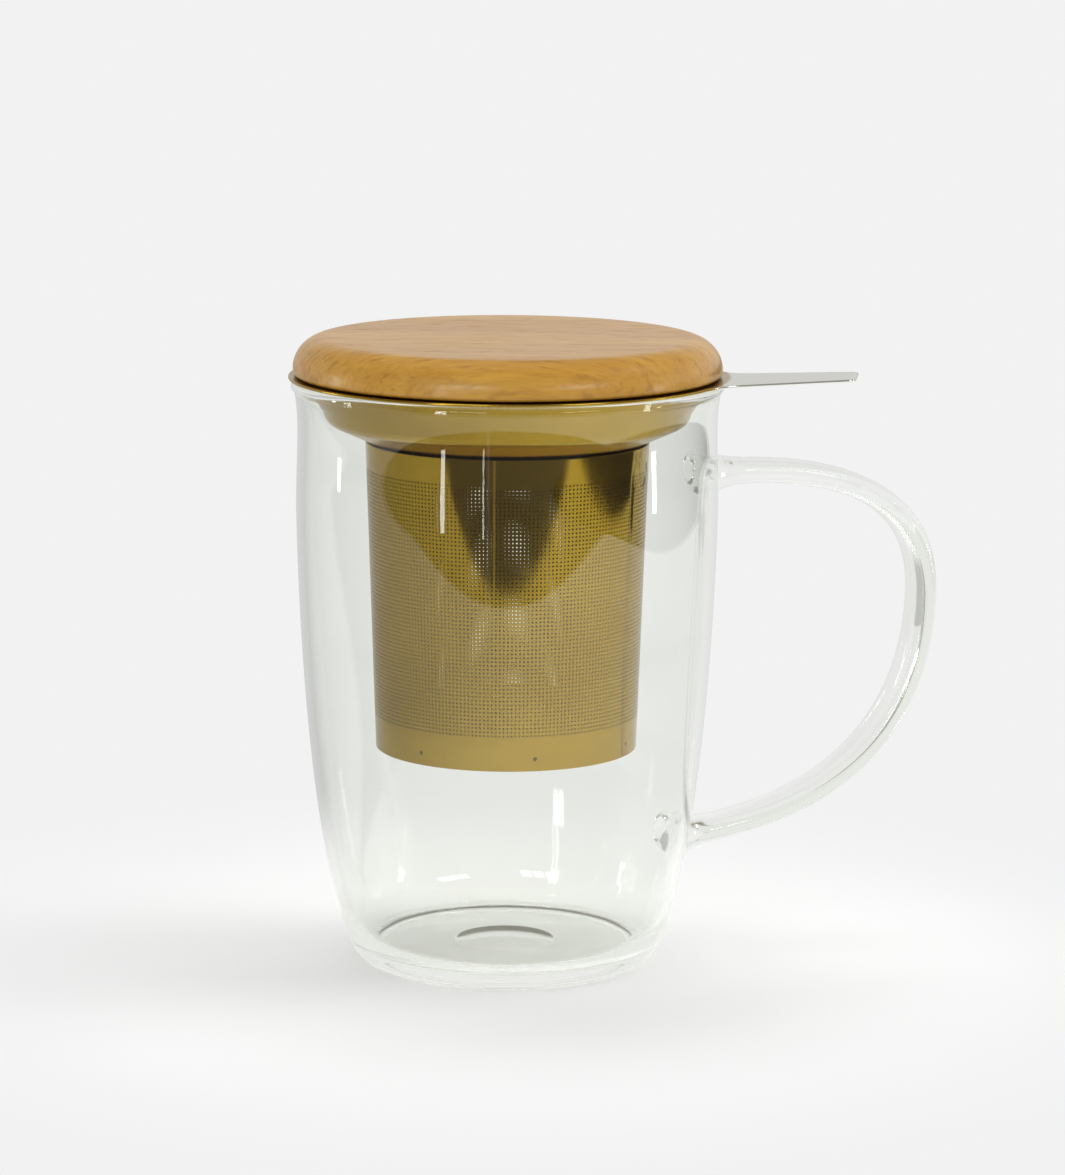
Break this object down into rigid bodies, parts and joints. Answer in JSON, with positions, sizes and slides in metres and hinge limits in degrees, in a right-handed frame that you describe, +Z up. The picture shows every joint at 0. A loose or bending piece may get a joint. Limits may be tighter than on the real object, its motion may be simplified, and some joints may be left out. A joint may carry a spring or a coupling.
{
  "type": "infuser mug",
  "caption": "Clear glass mug with a handle, a lift-out perforated metal tea infuser with a flat lifting tab, and a loose round wooden lid.",
  "frame": {"origin": "centre of the ring under the mug, on the surface it stands on", "axes": "+Z up along the mug's axis, +X towards the handle"},
  "size_m": [0.1383, 0.089, 0.1287],
  "materials": {
    "glass": "clear polished borosilicate glass",
    "gold_steel": "gold-coloured coating on satin stainless steel",
    "wood": "satin clear lacquer",
    "silicone": "matt translucent silicone"
  },
  "bodies": {
    "mug": {"mug_body": "glass", "mug_handle": "glass"},
    "infuser": {"infuser_collar": "gold_steel", "infuser_mesh": "gold_steel", "infuser_base": "gold_steel"},
    "lid": {"lid_disc": "wood", "lid_seal": "silicone"}
  },
  "joints": [
    {"name": "infuser_lift", "type": "slide", "parent": "mug", "child": "infuser", "axis": [0, 0, 1], "range_m": [0, 0.09]},
    {"name": "lid_lift", "type": "slide", "parent": "infuser", "child": "lid", "axis": [0, 0, 1], "range_m": [0, 0.05]}
  ]
}
